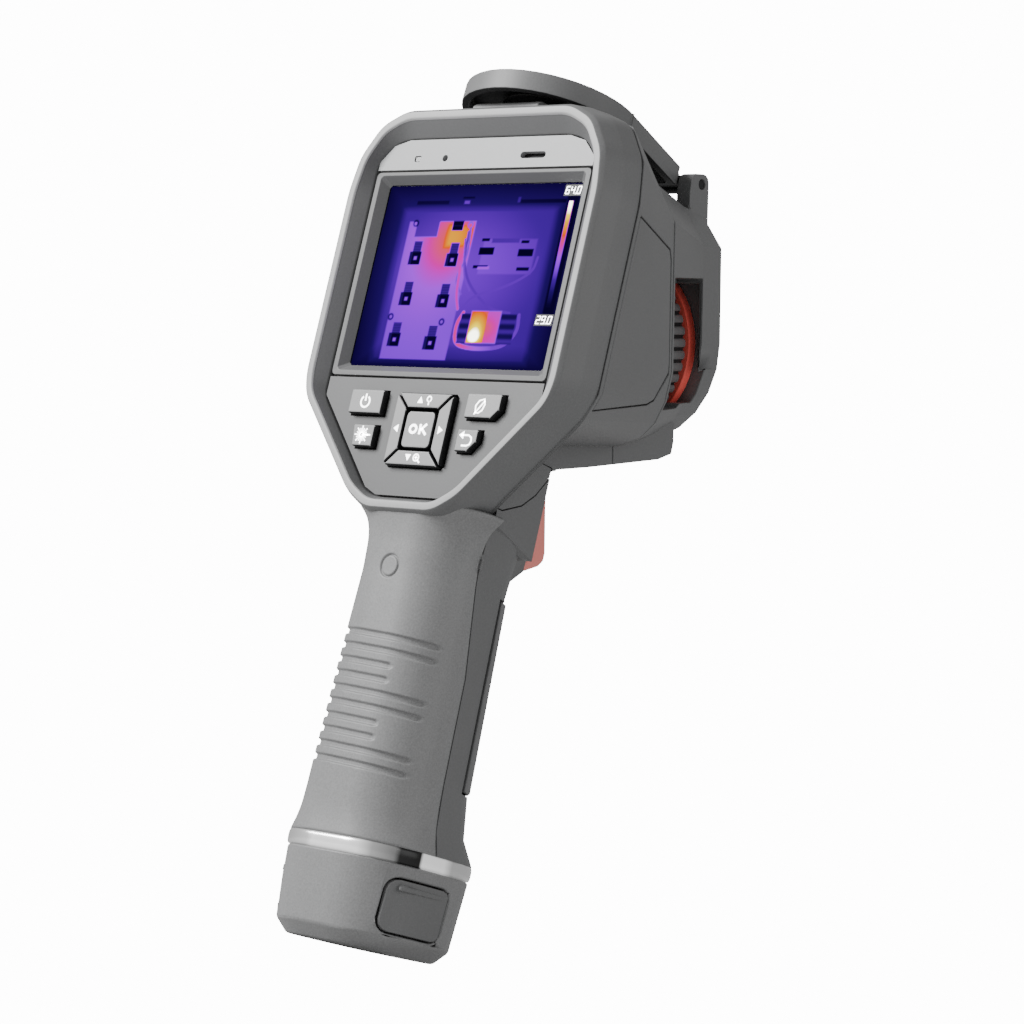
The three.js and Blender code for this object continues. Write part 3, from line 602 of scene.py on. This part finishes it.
heat += 0.1 * slab * block(0.36, 0.5, 0.22, 0.34, 0.03)
for x, y in ((0.213, 0.4), (0.41, 0.41), (0.213, 0.625), (0.41, 0.635), (0.2, 0.85), (0.393, 0.865)):
    cap = block(x - 0.018, x + 0.024, y - 0.09, y - 0.03)
    heat = heat * (1 - cap) + cap * (0.28 + 0.06 * np.sin(down * 700))
    base = block(x - 0.03, x + 0.03, y - 0.032, y + 0.038)
    heat = heat * (1 - base) + base * (0.08 + 0.12 * block(x - 0.03, x - 0.015, y - 0.03, y + 0.04))
    heat += 0.42 * block(x - 0.006, x + 0.012, y - 0.008, y + 0.014, 0.008)
lamp = block(0.378, 0.432, 0.2, 0.25)
heat = heat * (1 - lamp) + lamp * (0.06 + 0.12 * block(0.378, 0.432, 0.222, 0.228))
for x, y in ((0.178, 0.21), (0.47, 0.222), (0.157, 0.728), (0.432, 0.752)):
    heat -= 0.2 * np.exp(-(((np.hypot(across - x, (down - y) * aspect) - 0.011) / 0.004) ** 2))
heat += 0.035 * block(0.56, 0.83, 0.3, 0.49, 0.01)
for x, y, w, h, level in (
    (0.582, 0.365, 0.036, 0.018, 0.04),
    (0.783, 0.374, 0.036, 0.018, 0.05),
    (0.567, 0.303, 0.018, 0.006, 0.06),
    (0.77, 0.315, 0.018, 0.006, 0.06),
    (0.568, 0.45, 0.036, 0.006, 0.05),
    (0.786, 0.462, 0.03, 0.007, 0.08),
    (0.783, 0.402, 0.036, 0.008, 0.38),
    (0.584, 0.456, 0.03, 0.008, 0.55),
    (0.67, 0.308, 0.07, 0.012, 0.34),
):
    patch = block(x - w, x + w, y - h, y + h)
    heat = heat * (1 - patch) + patch * level
wires = (
    ([(0.47, 0.26), (0.475, 0.42), (0.53, 0.55), (0.66, 0.68), (0.77, 0.7)], 0.006, 0.36),
    ([(0.85, 0.4), (0.84, 0.48), (0.72, 0.56), (0.56, 0.61), (0.52, 0.68)], 0.006, 0.37),
    ([(0.475, 0.24), (0.49, 0.4), (0.45, 0.52), (0.5, 0.6)], 0.0045, 0.42),
    ([(0.46, 0.3), (0.49, 0.5), (0.54, 0.58)], 0.004, 0.4),
    ([(0.465, 0.45), (0.475, 0.6), (0.5, 0.68)], 0.007, 0.62),
)
for points, width, level in wires:
    mask = line(points, width)
    heat = heat * (1 - mask) + mask * level
bowl = [(0.535, 0.7), (0.51, 0.76), (0.52, 0.87), (0.62, 0.895), (0.77, 0.885), (0.83, 0.8), (0.82, 0.71)]
trough = line(bowl, 0.0085)
heat = heat * (1 - trough) + trough * (0.38 + 0.28 * np.clip((0.72 - across) / 0.18, 0, 1))
for left, right in ((0.53, 0.577), (0.735, 0.81)):
    stripe = block(left, right, 0.705, 0.865)
    heat = heat * (1 - stripe) + stripe * (0.24 + 0.08 * np.sin(down * 120))
hot = block(0.578, 0.73, 0.69, 0.862)
blaze = 0.64 + 0.3 * glow(0.615, 0.8, 0.062, 1.7) + 0.18 * glow(0.61, 0.83, 0.03, 1.0)
heat = heat * (1 - hot) + hot * np.where(across < 0.665, blaze, 0.6 + 0.1 * glow(0.66, 0.78, 0.05))
heat += 0.03 * glow(0.65, 0.9, 0.2, 0.4)
strip = block(0.935, 0.988, 0.07, 0.7, 0.01)
heat = heat * (1 - strip) + strip * 0.07
bar = block(0.944, 0.967, 0.095, 0.665, 0.004)
heat = heat * (1 - bar) + bar * np.clip(1.06 - (down - 0.095) / 0.57 * 0.98, 0.1, 1.0)
heat = np.clip(heat, 0.0, 1.0)


def screenAt(u, w):  # x and z in millimetres, from shares of the lit width and height
    return (u - 0.5) * 2 * display["halfWidth"], display["z"] + (0.5 - w) * 2 * display["halfHeight"]


screenX, screenZ = screenAt(across, down)
screenPoints = np.stack([screenX, np.full_like(screenX, display["y"]), screenZ], -1)
picture = gridPiece("thermalPicture", screenPoints, closed=False, flip=True)
cornerIndex = np.empty(len(picture.data.loops), np.int32)
picture.data.loops.foreach_get("vertex_index", cornerIndex)
cornerHeat = heat.ravel()[cornerIndex]
layer = picture.data.uv_layers.new(name="heat")
layer.data.foreach_set("uv", np.stack([cornerHeat, 0 * cornerHeat], -1).astype(np.float32).ravel())
material, tree, shader, out = newMaterial("lit display")
heatMap = addNode(tree, "ShaderNodeUVMap", {"uv_map": "heat"})
heatParts = addNode(tree, "ShaderNodeSeparateXYZ", None, {0: wireOf(tree, heatMap, 0)})
palette = addNode(tree, "ShaderNodeValToRGB", None, {0: wireOf(tree, heatParts, "X")})
colours = [
    (0.0, (0.0, 0.0, 0.004)),
    (0.1, (0.003, 0.0, 0.025)),
    (0.22, (0.012, 0.0, 0.09)),
    (0.33, (0.045, 0.0, 0.24)),
    (0.44, (0.2, 0.0, 0.75)),
    (0.54, (0.36, 0.0, 0.9)),
    (0.64, (0.62, 0.0, 0.35)),
    (0.74, (0.75, 0.07, 0.0)),
    (0.86, (0.85, 0.42, 0.0)),
    (0.93, (1.3, 1.0, 0.0)),
    (1.0, (4.0, 4.0, 3.4)),
]
fillRamp(palette.color_ramp, colours)
shader.inputs["Base Color"].default_value = (0.0, 0.0, 0.0, 1.0)
shader.inputs["Roughness"].default_value = 0.6
shader.inputs["Specular IOR Level"].default_value = 0.0
shader.inputs["Emission Strength"].default_value = display["glow"]
plug(tree, shader.inputs["Emission Color"], wireOf(tree, palette, 0))
picture.data.materials.append(material)
place(picture, "body", "display", None)
print("display made")

# Printed marks: flat strokes of even width, and filled shapes, each on its own surface


def stroke(path, width, closed=False):  # left and right edges at half the width along the path's normals
    path = np.array(path, float)
    along = np.roll(path, -1, 0) - np.roll(path, 1, 0)
    if not closed:
        along[0] = path[1] - path[0]
        along[-1] = path[-1] - path[-2]
    along /= np.maximum(np.linalg.norm(along, axis=1, keepdims=True), 1e-9)
    normal = np.stack([-along[:, 1], along[:, 0]], -1) * width / 2
    count = len(path)
    points = np.concatenate([path + normal, path - normal])
    starts = range(count if closed else count - 1)
    faces = [[i, (i + 1) % count, count + (i + 1) % count, count + i] for i in starts]
    return points, faces


def shapeOf(path):
    return np.array(path, float), [list(range(len(path)))]


def around(x, z, radius, start=0, end=360, count=20, squash=1.0):
    turn = np.radians(np.linspace(start, end, count, endpoint=end - start < 360))
    return np.stack([x + radius * squash * np.cos(turn), z + radius * np.sin(turn)], -1)


def marks(name, drawn, y, body, slotName, material):
    points, faces, offset = [], [], 0
    for part, table in drawn:
        points.append(np.stack([part[:, 0], np.full(len(part), y), part[:, 1]], -1))
        faces += [[offset + corner for corner in face] for face in table]
        offset += len(part)
    obj = asMesh(name, np.concatenate(points) * 0.001, faces, False)
    work = bmesh.new()
    work.from_mesh(obj.data)
    for face in work.faces:
        face.normal_update()
        if face.normal.y > 0:
            face.normal_flip()
    work.to_mesh(obj.data)
    work.free()
    modify(obj, "ink", "SOLIDIFY", thickness=0.00003, offset=-1.0)
    return place(obj, body, slotName, material)


faceY = -22.35
pen = 0.5


def ray(x, z, angle, start, end):
    return [(x + reach * math.cos(angle), z + reach * math.sin(angle)) for reach in (start, end)]


def keyMark(word, *drawn):
    marks(word + "Mark", drawn, faceY, word + "_key", "key", "white")


powerBar = [(-21.6, 145.3), (-21.6, 147.3)]
keyMark("power", stroke(around(-21.6, 145.1, 1.6, 125, 415), pen), stroke(powerBar, pen))
turns = [math.radians(22.5 * index) for index in range(16)]
rays = [ray(-20.2, 135.7, angle, 0.5, 1.9 if index % 2 else 2.5) for index, angle in enumerate(turns)]
keyMark("laser", *[stroke(path, 0.36) for path in rays], stroke([(-20.2, 135.7), (-17, 135.7)], 0.4))
leaf = [(19, 143.3), (18.7, 145.2), (19.7, 146.6), (21.4, 147.1), (21.8, 145.6), (21.2, 144), (20, 143.2)]
keyMark("picture", stroke(leaf, 0.42, True), stroke([(18.6, 142.8), (21.6, 146.6)], 0.42))
hook = [(15.9, 137), (18.6, 137), (19.6, 136.4), (19.8, 135.4), (19.4, 134.5), (18.4, 134.1), (16.6, 134.1)]
keyMark("back", stroke(hook, 0.46), shapeOf([(15.2, 137.0), (16.8, 138.1), (16.8, 135.9)]))
keyMark(
    "up",
    shapeOf([(-2.4, 145.3), (-0.4, 145.3), (-1.4, 147.1)]),
    stroke(around(1.7, 146.5, 0.75, -60, 240, 14), 0.34),
    stroke([(1.7, 145.9), (1.7, 144.8)], 0.4),
)
keyMark(
    "down",
    shapeOf([(-2.4, 130.9), (-1.4, 129.1), (-0.4, 130.9)]),
    stroke(around(1.6, 130.1, 0.95, 0, 360, 16), 0.34, True),
    stroke([(2.2, 129.4), (3.1, 128.7)], 0.45),
    stroke([(1.0, 130.1), (2.2, 130.1)], 0.3),
    stroke([(1.6, 129.5), (1.6, 130.7)], 0.3),
)
keyMark("left", shapeOf([(-8.9, 138.0), (-7.3, 139.1), (-7.3, 136.9)]))
keyMark("right", shapeOf([(8.9, 138.0), (7.3, 136.9), (7.3, 139.1)]))
keyMark(
    "ok",
    stroke(around(-1.75, 138, 1.05, 0, 360, 20, 1.1), 0.72, True),
    stroke([(0.75, 136.6), (0.75, 139.4)], 0.72),
    stroke([(0.95, 137.8), (2.9, 139.5)], 0.68),
    stroke([(1.3, 138.2), (3.1, 136.5)], 0.72),
)

segments = {"0": "abcdef", "2": "abged", "4": "fgbc", "6": "afgedc", "9": "abfgcd"}
segmentEnds = {
    "a": ((0, 1), (1, 1)),
    "b": ((1, 1), (1, 0.5)),
    "c": ((1, 0.5), (1, 0)),
    "d": ((0, 0), (1, 0)),
    "e": ((0, 0.5), (0, 0)),
    "f": ((0, 1), (0, 0.5)),
    "g": ((0, 0.5), (1, 0.5)),
}


def digit(sign, x, z, size):  # up to seven strokes, leaning a little
    drawn = []
    for letter in segments[sign]:
        path = [(x + size * (0.56 * u + 0.14 * v), z + size * v) for u, v in segmentEnds[letter]]
        drawn.append(stroke(path, size * 0.12))
    return drawn


for name, reading, u, w in (("highReading", "640", 0.924, 0.058), ("lowReading", "290", 0.918, 0.752)):
    x, z = screenAt(u, w)
    tile = shapeOf([(x - 1.0, z - 0.6), (x + 5.2, z - 0.6), (x + 5.4, z + 2.6), (x - 0.8, z + 2.6)])
    marks(name + "Tile", [tile], display["y"] - 0.03, "body", "display", "tile")
    drawn = sum([digit(sign, x + step, z, 2.0) for sign, step in zip(reading, (-0.5, 1.25, 3.4))], [])
    drawn.append(shapeOf([(x + 2.8, z - 0.15), (x + 3.1, z - 0.15), (x + 3.1, z + 0.2), (x + 2.8, z + 0.2)]))
    marks(name, drawn, display["y"] - 0.07, "body", "display", "white")
print("marks made")

# Ridge across each latch

latchRidge = {"x": 21.73, "z": 17.1, "back": -13.2, "front": 5.0, "half": 0.75, "height": 0.55, "wall": 0.8}
along = np.linspace(0, 1, 24)[:, None]
profile = np.linspace(0, math.pi, 9)[None, :]
ends = np.minimum(1, np.minimum(along, 1 - along) / 0.08) ** 0.5  # the ridge rises from nothing at its ends
y = between(latchRidge["back"], latchRidge["front"], along) + 0 * profile
x = latchRidge["x"] - 0.0042 * (y + 4.3) ** 2 + latchRidge["height"] * np.sin(profile) * ends
z = latchRidge["z"] - latchRidge["half"] * np.cos(profile) + 0 * along
for word, sideSign in (("Left", -1), ("Right", 1)):
    ridgePoints = np.stack([x * sideSign, y, z], -1)
    ridge = gridPiece("latchRidge" + word, ridgePoints, closed=False, flip=sideSign > 0)
    modify(ridge, "body", "SOLIDIFY", thickness=latchRidge["wall"] * 0.001, offset=-1.0)
    place(ridge, "latch_" + word.lower(), "shell", "body")

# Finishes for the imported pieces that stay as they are

plain = {
    "display_glass": "glass",
    "display_module": "steel",
    "keypad_board": "board",
    "main_board": "board",
    "battery_tower": "black",
    "battery_cell": "cell",
    "battery_contacts": "brass",
    "latch_spring_left": "steel",
    "latch_spring_right": "steel",
    "trigger_pin": "steel",
    "trigger_spring": "steel",
    "trigger_switch": "black",
    "usb_socket": "steel",
    "card_socket": "steel",
    "lens_barrel": "black",
    "front_lens": "germanium",
    "rear_lens": "germanium",
    "detector_module": "steel",
    "shutter_blade": "black",
    "visual_camera": "black",
    "work_lamp": "clear",
    "laser_module": "brass",
    "tripod_insert": "brass",
    "cover_pin": "black",
    "cover_seal": "black",
    "speaker": "black",
    "microphone": "black",
    "light_sensor": "clear",
}
for node, material in plain.items():
    nodes[node].data.materials.clear()
    nodes[node].data.materials.append(materials[material])

# Floor, world, lights and camera

studio = {"world": 0.36, "backdrop": 14.0, "key": 19.0, "fill": 2.0, "floor": 0.35, "lens": 106.94}
floor = asMesh("floor", np.array([(-3, -3, 0), (3, -3, 0), (3, 3, 0), (-3, 3, 0)]), [[0, 1, 2, 3]])
material, tree, shader, out = newMaterial("pale floor")
shader.inputs["Base Color"].default_value = (0.9, 0.9, 0.9, 1.0)
shader.inputs["Roughness"].default_value = 0.8
clearSide = addNode(tree, "ShaderNodeBsdfTransparent")
facing = addNode(tree, "ShaderNodeNewGeometry")
choice = addNode(tree, "ShaderNodeMixShader")
behind = wireOf(tree, facing, "Backfacing")
plug(tree, choice.inputs[0], behind * studio["floor"] + (1.0 - studio["floor"]))
tree.links.new(shader.outputs[0], choice.inputs[1])
tree.links.new(clearSide.outputs[0], choice.inputs[2])
tree.links.new(choice.outputs[0], out.inputs[0])
floor.data.materials.append(material)

world = bpy.data.worlds.new("studio")
world.use_nodes = True
background = world.node_tree.nodes["Background"]
background.inputs[0].default_value = (1.0, 1.0, 1.0, 1.0)
rays = addNode(world.node_tree, "ShaderNodeLightPath")
seen = wireOf(world.node_tree, rays, "Is Camera Ray")
plug(world.node_tree, background.inputs[1], seen * (studio["backdrop"] - studio["world"]) + studio["world"])
bpy.context.scene.world = world


def softLight(name, location, target, size, power):
    data = bpy.data.lights.new(name, "AREA")
    data.size = size
    data.energy = power
    lamp = bpy.data.objects.new(name, data)
    bpy.context.scene.collection.objects.link(lamp)
    toward = np.array(target, float) - np.array(location, float)
    lamp.location = location
    lamp.rotation_euler = Vector(toward).to_track_quat("-Z", "Y").to_euler()


softLight("keyLight", (-0.5, -0.75, 0.6), (0, 0, 0.15), 0.5, studio["key"])
softLight("fillLight", (0.9, 0.1, 0.4), (0, 0, 0.17), 0.6, studio["fill"])

camera = bpy.data.objects.new("camera", bpy.data.cameras.new("camera"))
bpy.context.scene.collection.objects.link(camera)
camera.data.sensor_width = 36.0
camera.data.lens = studio["lens"]
camera.data.clip_start = 0.01
rightward = Vector((0.758104, 0.616553, 0.212461))
upright = -Vector((0.054289, 0.264996, -0.96272))
backward = -Vector((-0.649869, 0.741377, 0.167422))
position = Vector((0.551927, -0.607187, -0.015031))
columns = [vector.to_4d() for vector in (rightward, upright, backward, position)]
for column in columns[:3]:
    column.w = 0.0
camera.matrix_world = Matrix(columns).transposed()
bpy.context.scene.camera = camera
print("studio made")
